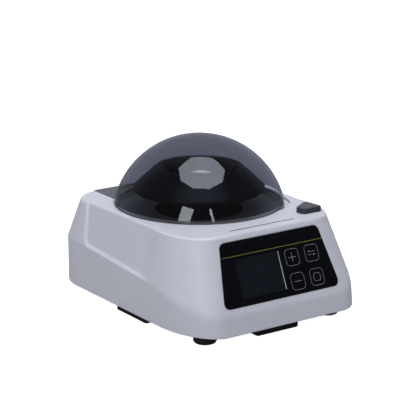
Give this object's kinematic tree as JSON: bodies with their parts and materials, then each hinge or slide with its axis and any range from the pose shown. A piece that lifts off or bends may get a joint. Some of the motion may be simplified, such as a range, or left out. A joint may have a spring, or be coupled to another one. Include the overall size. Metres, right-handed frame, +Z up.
{
  "type": "laboratory mini centrifuge",
  "caption": "Bench-top mini centrifuge with a smoked dome lid on a rear hinge, an angle rotor in a round chamber, a sloping front touch panel and a release button.",
  "frame": {"origin": "centre of the object's footprint on the floor, under the feet", "axes": "+Z up, +X to the right seen from the front, the front faces -Y"},
  "size_m": [0.164, 0.2056, 0.1312],
  "materials": {
    "housing_abs": "fine satin moulded",
    "base_abs": "fine satin moulded",
    "foot_rubber": "matte",
    "screw_steel": "zinc plated",
    "pad_rubber": "matte",
    "bowl_abs": "satin moulded",
    "gasket_rubber": "matte",
    "bracket_abs": "satin moulded",
    "pin_steel": "ground",
    "spring_steel": "drawn wire",
    "sensor_case": "satin",
    "guide_abs": "satin",
    "motor_steel": "zinc plated",
    "plate_steel": "zinc plated",
    "damper_rubber": "matte",
    "overlay_gloss": "glossy printed film",
    "display_glass": "glossy",
    "display_case": "satin",
    "control_board_laminate": "lacquered",
    "power_board_laminate": "lacquered",
    "capacitor_sleeve": "glossy sleeve",
    "socket_case": "satin",
    "switch_case": "satin",
    "rocker_abs": "glossy",
    "smoked_polycarbonate": "clear, glossy, smoked tint",
    "hinge_cover_abs": "satin moulded",
    "striker_pom": "satin",
    "shaft_steel": "ground",
    "hub_aluminium": "machined",
    "rotor_polypropylene": "satin moulded",
    "nut_abs": "satin moulded",
    "button_abs": "satin moulded",
    "latch_pom": "satin"
  },
  "bodies": {
    "base": {"upper_housing": "housing_abs", "base_pan": "base_abs", "foot_front_left": "foot_rubber", "case_screw_front_left": "screw_steel", "foot_front_right": "foot_rubber", "case_screw_front_right": "screw_steel", "foot_rear_left": "foot_rubber", "case_screw_rear_left": "screw_steel", "foot_rear_right": "foot_rubber", "case_screw_rear_right": "screw_steel", "edge_pad_front": "pad_rubber", "edge_pad_rear": "pad_rubber", "edge_pad_left": "pad_rubber", "edge_pad_right": "pad_rubber", "chamber_bowl": "bowl_abs", "chamber_gasket": "gasket_rubber", "hinge_bracket": "bracket_abs", "hinge_pin_left": "pin_steel", "lid_spring_left": "spring_steel", "hinge_pin_right": "pin_steel", "lid_spring_right": "spring_steel", "lid_sensor": "sensor_case", "latch_guide": "guide_abs", "button_spring": "spring_steel", "latch_spring": "spring_steel", "motor_can": "motor_steel", "motor_plate": "plate_steel", "motor_damper_1": "damper_rubber", "motor_screw_1": "screw_steel", "motor_damper_2": "damper_rubber", "motor_screw_2": "screw_steel", "motor_damper_3": "damper_rubber", "motor_screw_3": "screw_steel", "motor_damper_4": "damper_rubber", "motor_screw_4": "screw_steel", "panel_overlay": "overlay_gloss", "display_window": "display_glass", "display_module": "display_case", "control_board": "control_board_laminate", "power_board": "power_board_laminate", "capacitor": "capacitor_sleeve", "inlet_socket": "socket_case", "switch_frame": "switch_case"},
    "lid": {"lid_dome": "smoked_polycarbonate", "lid_hinge_plate": "hinge_cover_abs", "lid_striker": "striker_pom"},
    "rotor_assembly": {"motor_shaft": "shaft_steel", "rotor_hub": "hub_aluminium", "rotor": "rotor_polypropylene", "rotor_nut": "nut_abs"},
    "button": {"release_button": "button_abs"},
    "latch": {"latch_slider": "latch_pom"},
    "rocker": {"power_rocker": "rocker_abs"}
  },
  "joints": [
    {"name": "lid_hinge", "type": "hinge", "parent": "base", "child": "lid", "pos_m": [0, 0.0841, 0.0714], "axis": [-1, 0, 0], "range_deg": [0, 80], "deforming": ["lid_spring_left", "lid_spring_right"]},
    {"name": "rotor_spin", "type": "hinge", "parent": "base", "child": "rotor_assembly", "pos_m": [0, 0.0126, 0.0879], "axis": [0, 0, 1], "continuous": true},
    {"name": "button_press", "type": "slide", "parent": "base", "child": "button", "axis": [0, 0, -1], "range_m": [0, 0.002], "stiffness_N_per_m": 300, "deforming": ["button_spring"]},
    {"name": "latch_slide", "type": "slide", "parent": "base", "child": "latch", "axis": [0.6088, -0.7934, 0], "range_m": [0, 0.002], "stiffness_N_per_m": 150, "deforming": ["latch_spring"]},
    {"name": "rocker_tilt", "type": "hinge", "parent": "base", "child": "rocker", "pos_m": [0.026, 0.0978, 0.0269], "axis": [0, 0, 1], "range_deg": [-18, 0]}
  ],
  "couplings": [
    {"joint": "latch_slide", "follows": "button_press", "ratio": 1}
  ]
}
